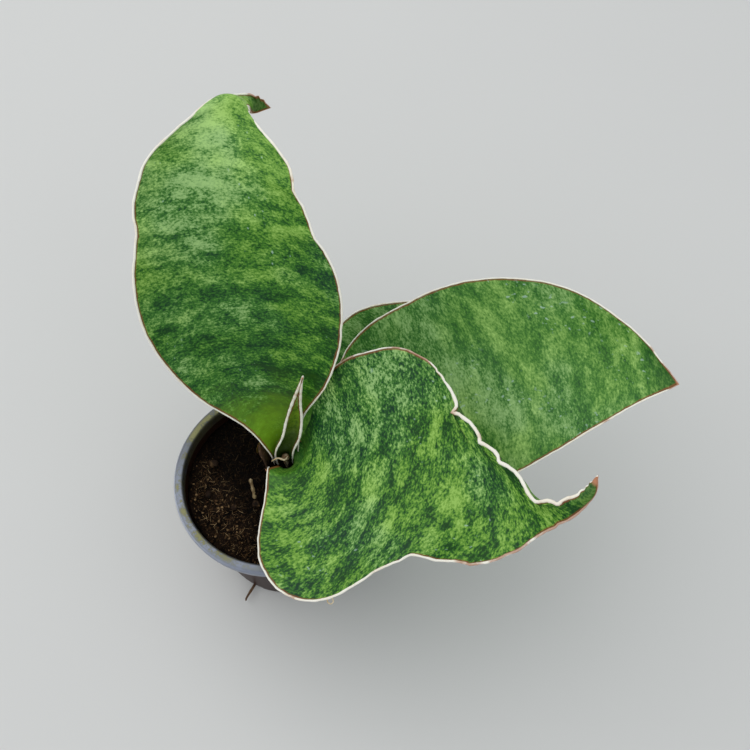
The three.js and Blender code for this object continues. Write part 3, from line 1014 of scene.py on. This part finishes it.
# %% The pot recipe
pot_recipe = Recipe(
    "turned_pot_with_drain_slots", Points="Int", Segments="Int", Slots="Int", Slot_Circle="Float",
    Slot_Turn="Float", Slot_Depth="Float", Slot_Width="Float", Slot_Height="Float",
    Lip_From="Float", Wall_Material="Material", Lip_Material="Material",
)
pot_body = turned(pot_recipe)
slot_points = pot_recipe.node("GeometryNodeMeshCircle", {"fill_type": "NONE"},
                              Vertices=pot_recipe["Slots"], Radius=pot_recipe["Slot Circle"])
slot_turn = pot_recipe.node("GeometryNodeInputIndex") / pot_recipe["Slots"] * (2 * math.pi)
slot_size = pot_recipe.vector(
    X=pot_recipe["Slot Depth"], Y=pot_recipe["Slot Width"], Z=pot_recipe["Slot Height"]
)
slot_box = pot_recipe.node("GeometryNodeMeshCube", Size=slot_size)
slot_boxes = pot_recipe.node("GeometryNodeInstanceOnPoints", Points=slot_points,
                             Instance=slot_box, Rotation=pot_recipe.turn(Z=slot_turn))
slot_solids = pot_recipe.node("GeometryNodeRealizeInstances", Geometry=slot_boxes)
slot_ring = pot_recipe.node("GeometryNodeTransform", Geometry=slot_solids,
                            Rotation=pot_recipe.turn(Z=pot_recipe["Slot Turn"]))
pot_cut = pot_recipe.node("GeometryNodeMeshBoolean", {"operation": "DIFFERENCE", "solver": "EXACT"},
                          Mesh_1=pot_body, Mesh_2=slot_ring)
pot_height = pot_recipe.parts_of(pot_recipe.place())[2]
pot_recipe.end(
    pot_cut,
    (pot_recipe["Wall Material"], True),
    (pot_recipe["Lip Material"], pot_height > pot_recipe["Lip From"]),
)

# %% [markdown]
# ## The pot's plastic
# The wall is thin and lets the dark peat show; its dark red-brown is painted shade with a painted red
# reflection. The thicker lip looks frosted and blue-grey. Watering has left lime and a green film on it,
# most on the side away from the leaves.
# The lip's far side is painted darker and the inside of the pot nearly black, as painted shade.

# %% Plastic finishes
POT_TOP = 52
LIP_UNDERSIDE = 48
WALL_TOP_RADIUS = 27
FLOOR_TOP = 0.8
FLOOR_RADIUS = 20.2


def plastic_finish(name, body, cloudiness, transmission, roughness, lime_strength, bending):
    """The masks are for the whole pot, so that both finishes can use them. They read millimetres."""
    finish = Finish(name)
    place = finish.object_place()
    blotches = finish.noise(place, 190, 4, 0.65)
    fine = finish.noise(place, 1300, 3, 0.7)
    scuffs = finish.noise(finish.stretched(place, (300, 300, 1800)), 1, 2)
    x, y, z = finish.parts_of(place)
    radius = finish.node("ShaderNodeVectorMath", {"operation": "LENGTH"},
                         {0: finish.vector(X=x, Y=y)}, "Value")
    x, y, z, radius = x / MM, y / MM, z / MM, radius / MM
    inner = radius.between(29.7, 28.4)
    left = (y * 0.1 - x).between(-4, 20)
    on_lip = z > LIP_UNDERSIDE - 0.2
    # Painted shade: the inside of the lip and of the wall is painted nearly black, for the shade within
    # the pot.
    wall_inside_shade = (radius - z * 0.144).between(20.6, 20.4) * z.between(25, 40)
    inside_shade = radius.between(27.8, 27.2) * on_lip + wall_inside_shade * (1 - on_lip)
    # Painted shade: the lip is painted darker on its far side, behind the plant.
    far_lip_shade = (y - x * 0.7).between(12, 34) * on_lip
    patchy = (blotches + (fine - 0.5) * 0.7).between(0.47, 0.60)
    lime = patchy * inner * (0.12 + left * 0.6 * on_lip) * lime_strength
    film = (blotches * 0.6 + fine * 0.4).between(0.44, 0.56) * inner * left * on_lip * lime_strength
    return finish.shade(
        Base_Color=finish.layered(
            finish.blend(blotches, body, cloudiness),
            (far_lip_shade * 0.65, (78, 82, 80)),
            (film * 0.8, (112, 108, 40)),
            (lime * 0.55, (182, 180, 128)),
            (inside_shade * 0.9, (20, 15, 10)),
        ),
        Roughness=roughness + (scuffs - 0.5) * 0.12 + lime * 0.3,
        Normal=finish.relief(fine * 0.5 + blotches * 0.5, 0.12 * MM, 0.4),
        IOR=bending, Transmission_Weight=transmission, Specular_IOR_Level=0.5,
        Coat_Weight=0.15, Coat_Roughness=0.3,
    )


# The wall's dark red-brown body is painted shade with a painted red reflection, over clear plastic.
wall_plastic = plastic_finish("clear_wall_plastic", (66, 26, 22), (50, 22, 18), 0.45, 0.34, 0.3, 1.06)
lip_plastic = plastic_finish("frosted_lip_plastic", (176, 184, 204), (122, 130, 148),
                             0.30, 0.38, 1.5, 1.46)

# %% The pot
SLOT_TURN = math.radians(-118)
POT_CORNERS = [
    (0, 0), (FLOOR_RADIUS, 0), (21, FLOOR_TOP), (27.8, LIP_UNDERSIDE), (29.6, LIP_UNDERSIDE),
    (30, 51.2), (29.2, POT_TOP), (WALL_TOP_RADIUS, POT_TOP), (WALL_TOP_RADIUS, LIP_UNDERSIDE),
    (FLOOR_RADIUS, FLOOR_TOP), (0, FLOOR_TOP),
]
POT_RADII = [0, 0.4, 0.4, 0.4, 0.5, 0.9, 0.8, 0.7, 0.6, 0.3, 0]
pot_outline = filled(rounded(POT_CORNERS, POT_RADII), 3.0)
pot_mesh = pot_recipe.make(
    outline_mesh(pot_outline), Points=len(pot_outline), Segments=144, Slots=6,
    Slot_Circle=21 * MM, Slot_Turn=SLOT_TURN, Slot_Depth=8 * MM, Slot_Width=6 * MM,
    Slot_Height=6 * MM, Lip_From=47.9 * MM, Wall_Material=wall_plastic, Lip_Material=lip_plastic,
)
piece_from("pot_shell", pot_mesh, None, ["pot"], sharp=40)

# %% [markdown]
# ## The soil
# The soil is a peat plug with a lumpy top. A turned body gives the plug, and noise moves its top.
# On top lie loose crumbs and plant fibres, which Geometry Nodes scatters: a few crumb and fibre
# shapes are made one by one and repeated at random places, turns and sizes.

# %% The soil recipe and the plug
SOIL_TOP = 46
SOIL_FLOOR = 1.1
SOIL_CLEARANCE = 0.3
SOIL_EDGE, _, soil_highest = np.array(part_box("soil")[1]) / MM
SOIL_CROWN = soil_highest - SOIL_TOP
SOIL_LUMPS = ((0.9, 7 * MM, 50), (0.5, 2.6 * MM, 51), (0.28, 1.1 * MM, 52))

soil_recipe = Recipe("turned_soil_plug", Points="Int", Segments="Int", Material="Material")
soil_recipe.end(turned(soil_recipe))

soil_finish = Finish("dark_peat")
soil_place = soil_finish.object_place()
soil_grains = soil_finish.noise(soil_place, 1700, 3, 0.7)
soil_hairs = soil_finish.noise(soil_finish.stretched(soil_place, (600, 2400, 1200)), 1, 3, 0.6)
soil_mix = soil_finish.noise(soil_place, 420, 4, 0.6) + (soil_grains - 0.5) * 0.6
soil_skin = soil_finish.shade(
    Base_Color=soil_finish.layered(
        # The peat's dark brown is painted nearly black: partly its own colour, partly painted shade under
        # the leaves.
        (4, 2, 1),
        (soil_mix.between(0.35, 0.65), (30, 20, 13)),
        (soil_hairs.between(0.60, 0.74) * 0.5, (84, 62, 42)),
        # Painted shadow of the crown and leaves, darkest towards the upper right.
        (soil_finish.painted_crown_shadow(soil_place) * 0.85, (3, 2, 1)),
    ),
    Roughness=0.85 + soil_grains * 0.1,
    Normal=soil_finish.relief(soil_mix * 0.6 + soil_hairs * 0.4, 0.9 * MM, 0.9),
    Specular_IOR_Level=0.08,
)


def soil_radius(height):
    """The outside of the soil plug at a height, in millimetres."""
    heights, radii = (FLOOR_TOP, LIP_UNDERSIDE), (FLOOR_RADIUS, WALL_TOP_RADIUS)
    return np.interp(height, heights, radii) - SOIL_CLEARANCE


soil_top_line = [
    (radius, SOIL_TOP + SOIL_CROWN * (1 - (radius / SOIL_EDGE) ** 2))
    for radius in np.linspace(0, SOIL_EDGE, 56)
]
soil_side = [
    (soil_radius(height), height) for height in np.linspace(SOIL_TOP - 0.8, SOIL_FLOOR, 40)
]
soil_outline = np.array(soil_top_line + soil_side + [(0, SOIL_FLOOR)])
soil_mesh = soil_recipe.make(outline_mesh(soil_outline), Points=len(soil_outline), Segments=200,
                             Material=soil_skin)
soil_spots = np.empty(len(soil_mesh.vertices) * 3, np.float32)
soil_mesh.vertices.foreach_get("co", soil_spots)
soil_spots = soil_spots.reshape(-1, 3).astype(float)
near_top = smooth(soil_spots[:, 2], (SOIL_TOP - 1.5) * MM, (SOIL_TOP - 0.5) * MM)
lumps = sum(height * wobble(soil_spots, size, seed) for height, size, seed in SOIL_LUMPS)
soil_spots[:, 2] += near_top * (lumps - 0.5) * MM
soil_mesh.vertices.foreach_set("co", soil_spots.astype(np.float32).ravel())
soil_bed = piece_from("soil_bed", soil_mesh, None, ["soil"])

# %% Crumb and fibre shapes
random_numbers = np.random.default_rng(7)


def crumb_mesh(name):
    """A small angular lump of a few dozen faces, about 1 mm across."""
    body = bmesh.new()
    around = unit(random_numbers.normal(size=(20, 3)))
    reach = random_numbers.uniform(0.32, 0.56, (20, 1))
    for spot in around * reach * (1, 1, 0.75) * MM:
        body.verts.new(spot)
    hull = bmesh.ops.convex_hull(body, input=body.verts)
    bmesh.ops.delete(body, geom=hull["geom_interior"], context="VERTS")
    mesh = bpy.data.meshes.new(name)
    body.to_mesh(mesh)
    body.free()
    return mesh


def fibre_mesh(name):
    """A thin crooked strand of a few dozen faces, about 4 mm long, tapered at both ends."""
    bend = random_numbers.uniform(-0.9, 0.9, 4)
    rings = []
    for t in np.linspace(0, 1, 8):
        middle = ((t - 0.5) * 4.2, bend[0] * math.sin(3 * t) + bend[1] * t * t, bend[2] * t * (1 - t))
        thick = 0.09 * math.sin(math.pi * (0.06 + 0.88 * t))
        for turn in (0, 2.1, 4.2):
            rings.append((middle[0], middle[1] + thick * math.cos(turn),
                          middle[2] + thick * math.sin(turn)))
    faces = []
    for step in range(7):
        for side in range(3):
            low, high = 3 * step + side, 3 * step + (side + 1) % 3
            faces.append((low, high, high + 3, low + 3))
    faces += [(2, 1, 0), (21, 22, 23)]
    mesh = bpy.data.meshes.new(name)
    mesh.from_pydata((np.array(rings) * MM).tolist(), [], faces)
    return mesh


def kinds(name, maker, count):
    """A collection of several shapes of one kind."""
    collection = bpy.data.collections.new(name)
    for number in range(count):
        mesh = maker(f"{name}_{number}")
        collection.objects.link(bpy.data.objects.new(mesh.name, mesh))
    return collection


# %% The scatter recipe
scatter = Recipe(
    "scattered_on_top", Kinds="Collection", Density="Float", Smallest="Float", Largest="Float",
    Tilt="Float", Reach="Float", Lowest="Float", Seed="Int", Material="Material",
)
seed, tilt, small = scatter["Seed"], scatter["Tilt"], scatter["Smallest"]
across_x, across_y, upwards = scatter.parts_of(scatter.place())
away_square = across_x * across_x + across_y * across_y
reach_square = scatter["Reach"] * scatter["Reach"]
scatter_points = scatter.node(
    "GeometryNodeDistributePointsOnFaces", output="Points", Mesh=scatter["Geometry"],
    Selection=(away_square < reach_square) * (upwards > scatter["Lowest"]),
    Density=scatter["Density"], Seed=seed,
)
scatter_kinds = scatter.node("GeometryNodeCollectionInfo", Collection=scatter["Kinds"],
                             Separate_Children=True, Reset_Children=True)
scatter_turn = scatter.turn(
    X=scatter.random(-1.0, 1.0, seed + 1) * tilt,
    Y=scatter.random(-1.0, 1.0, seed + 2) * tilt,
    Z=scatter.random(-math.pi, math.pi, seed + 3),
)
size_draw = scatter.random(0.0, 1.0, seed + 4)
scattered = scatter.node(
    "GeometryNodeInstanceOnPoints", Points=scatter_points, Instance=scatter_kinds,
    Pick_Instance=True, Rotation=scatter_turn,
    Scale=small + size_draw * size_draw * (scatter["Largest"] - small),
)
toned = scatter.node(
    "GeometryNodeStoreNamedAttribute", {"data_type": "FLOAT", "domain": "INSTANCE"},
    Geometry=scattered, Name="tone", Value=scatter.random(0.0, 1.0, seed + 5),
)
scatter.end(toned)


# %% Crumbs and fibres
def scrap_finish(name, dark, middle, light, light_from):
    """Each crumb or fibre has its own tone, and most are dark."""
    finish = Finish(name)
    place = finish.object_place()
    # A painted shadow of the crown darkens the crumbs and fibres, as on the soil.
    painted_crown_shadow = finish.painted_crown_shadow(place)
    tone = finish.measure("tone") + 0.06 - painted_crown_shadow * 0.10
    grains = finish.noise(place, 1900, 3, 0.7)
    return finish.shade(
        Base_Color=finish.layered(
            dark,
            (tone.between(0.0, 0.8), middle),
            (tone.between(light_from, 1.0), light),
            ((grains - 0.5).between(0.0, 0.25) * 0.4, light),
            (painted_crown_shadow * 0.82, (5, 3, 2)),
        ),
        Roughness=0.8 + grains * 0.15,
        Normal=finish.relief(grains, 0.2 * MM, 0.8),
        Specular_IOR_Level=0.08,
    )


SCRAPS = {
    "crumb": {
        "maker": crumb_mesh, "sharp": 30, "colours": ((4, 2, 1), (66, 46, 29), (140, 112, 78), 0.90),
        "Density": 2.2e6, "Smallest": 0.22, "Largest": 1.05, "Tilt": 3.1, "Reach": 25.6 * MM,
        "Seed": 3,
    },
    "fibre": {
        "maker": fibre_mesh, "sharp": None,
        "colours": ((20, 12, 7), (112, 84, 54), (196, 166, 122), 0.72),
        "Density": 2.0e6, "Smallest": 0.2, "Largest": 0.85, "Tilt": 0.7, "Reach": 24.2 * MM,
        "Seed": 21,
    },
}
for scrap, given in SCRAPS.items():
    maker, sharp, colours = (given.pop(key) for key in ("maker", "sharp", "colours"))
    shapes = kinds(scrap, maker, 6)
    scraps = scatter.make(
        soil_bed.data.copy(), Kinds=shapes, Lowest=(SOIL_TOP - 2) * MM,
        Material=scrap_finish(f"peat_{scrap}s", *colours), **given,
    )
    piece_from(f"soil_{scrap}s", scraps, None, sharp=sharp)
    for shape in list(shapes.objects):
        bpy.data.objects.remove(shape)
    bpy.data.collections.remove(shapes)

# %% [markdown]
# ## The small dry things
# A dead stub and a papery dry leaf stand in the crown, a twig and bark chips lie on the soil, one
# thin root comes out of a drain slot, and threads of dead margin hang loose. They share two
# finishes: dry plant matter, and root.


# %% Dry finishes
def dry_finish(name, dark, middle, light, streak=(500, 500, 160), shine=0.25):
    finish = Finish(name)
    place = finish.object_place()
    fibres = finish.noise(finish.stretched(place, streak), 1, 4, 0.65)
    patches = finish.noise(place, 260, 3, 0.6)
    grains = finish.noise(place, 1500, 3, 0.7)
    return finish.shade(
        Base_Color=finish.layered(
            dark, (patches.between(0.35, 0.62), middle), (fibres.between(0.5, 0.7) * 0.8, light)
        ),
        Roughness=0.62 + grains * 0.25,
        Normal=finish.relief(fibres * 0.6 + grains * 0.4, 0.3 * MM, 0.8),
        Specular_IOR_Level=shine,
    )


DRY_LOOKS = {
    "dry_leaf": ((46, 30, 18), (92, 64, 40), (160, 130, 92), (700, 700, 120)),
    "dry_stub": ((60, 44, 30), (120, 96, 68), (206, 190, 160), (900, 900, 200)),
    "dry_twig": ((112, 92, 62), (156, 138, 98), (204, 188, 150), (900, 200, 900)),
    # bark_chip: dark bark, painted darker still for the shade the chips lie in.
    "bark_chip": ((14, 9, 5), (36, 24, 15), (92, 70, 46), (500, 500, 160), 0.1),
    "root_skin": ((112, 78, 46), (160, 118, 74), (206, 170, 122), (700, 700, 260), 0.35),
    "drain_root_skin": ((58, 40, 28), (96, 70, 48), (150, 120, 86), (700, 700, 260), 0.3),
    "margin_thread_skin": ((196, 170, 126), (224, 206, 170), (240, 230, 204), (900, 900, 300), 0.35),
    "rhizome_skin": ((120, 92, 60), (168, 138, 96), (206, 184, 146), (300, 300, 700)),
}
dry = {name: dry_finish(name, *look) for name, look in DRY_LOOKS.items()}

# %% The dry sheath, the stub, the wisp and the loose thread
THREAD_AT = 0.42
dry_sheath_mesh = LEAF_SHAPES["dried_sheath"].skin(0.6)
piece_from("dry_sheath", dry_sheath_mesh, dry["dry_leaf"], ["dried_sheath"])

stub_path = swept([(0.3, -0.5, -1), (0.3, -0.5, 3), (0.4, -0.4, 6), (0.1, -0.3, 8)], 40)
stub_share = np.interp(np.linspace(0, 1, 40), [0, 0.45, 0.8, 0.95, 1], [0.6, 0.8, 1.2, 0.8, 0.2])
rod("crown_stub", stub_path, 0.9 * MM, dry["dry_stub"], stub_share, 0.8, 700.0, 16,
    ["dried_bud"])
wisp_path = swept([(-3.6, -2.6, 9.2), (-1.8, -1.7, 9.4), (0.2, -2.0, 8.9), (1.0, -0.7, 8.2)], 50)
wisp_share = np.interp(np.linspace(0, 1, 50), [0, 0.5, 1], [0.5, 1, 0.6])
rod("crown_wisp", wisp_path, 0.3 * MM, dry["margin_thread_skin"], wisp_share, 0.6, 900.0)

front_margin = LEAF_SHAPES["leaf_front"].surface[:, -1]
thread_from = (front_margin[int(THREAD_AT * FINE_STEPS)] - CROWN) / MM
thread_shape = [(0, 0, 0), (0.1, -0.9, -0.4), (0.9, -1.4, -0.6), (1.6, -0.8, -0.4), (1.3, 0.2, 0)]
thread_path = swept([thread_from + np.array(step) for step in thread_shape], 50)
rod("margin_thread", thread_path, 0.14 * MM, dry["margin_thread_skin"], 1.0, 0.3, 900.0)

# %% The twig, the bark and the drain root
twig_path = swept([(-9, -11, -0.2), (-9.6, -8.5, 1.4), (-10.5, -5.5, 2.6)], 50)
twig_share = 0.8 + 0.3 * np.sin(np.linspace(0, 9, 50)) ** 2
twig_share[-3:] = (0.8, 0.5, 0.2)
rod("dry_twig", twig_path, 0.55 * MM, dry["dry_twig"], twig_share, 0.5, 700.0, 12,
    ["twig"])


def bark_chip(name, node, seed):
    """A chip with broken edges, in the space of its solid."""
    low, high = (np.array(corner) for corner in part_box(node))
    body = bmesh.new()
    bmesh.ops.create_icosphere(body, subdivisions=4, radius=1)
    for vertex in body.verts:
        way = np.array(vertex.co)
        stepped = np.sign(way) * np.abs(way) ** 0.6
        rough = 1 + 0.16 * noise.noise(Vector(way * 2.2 + seed)) * 2
        rough += 0.07 * noise.noise(Vector(way * 7 + seed))
        vertex.co = (low + high) / 2 + stepped * (high - low) / 2 * rough * 0.92
    mesh = bpy.data.meshes.new(name)
    body.to_mesh(mesh)
    body.free()
    piece_from(name, mesh, dry["bark_chip"], [node])


for chip in range(1, 5):
    bark_chip(f"bark_chip_{chip}", f"bark_{chip}", 3 * chip)

ROOT_START = (7.875, 30.1)
drain_way = np.array([math.cos(SLOT_TURN), math.sin(SLOT_TURN)])
drain_knots = [[*(CROWN[:2] / MM + drain_way * ROOT_START[0]), ROOT_START[1]]]
for away, level in ((9, 15.05), (17, 2.5), (21, 1.5), (26, 1.8)):
    drain_knots.append([*(drain_way * away), level])
drain_knots.append([*(drain_way * 27.6 + (0.5, 0)), 2.3])
drain_path = rail(metres(drain_knots), np.linspace(0, 1, 120))
drain_share = np.interp(np.linspace(0, 1, 120), [0, 0.7, 0.93, 1], [1, 0.9, 0.6, 0.12])
rod("drain_root", drain_path, 0.5 * MM, dry["drain_root_skin"], drain_share, 0.3, 300.0, 12,
    ["root_5"])

# %% Finishes for the solids that stay
for node in ("rhizome", "root_1", "root_2", "root_3", "root_4"):
    skin = dry[node.split("_")[0] + "_skin"]
    for slot in frame["nodes"][node].material_slots:
        slot.material = skin
    print(node, "keeps its solid and gets", skin.name)
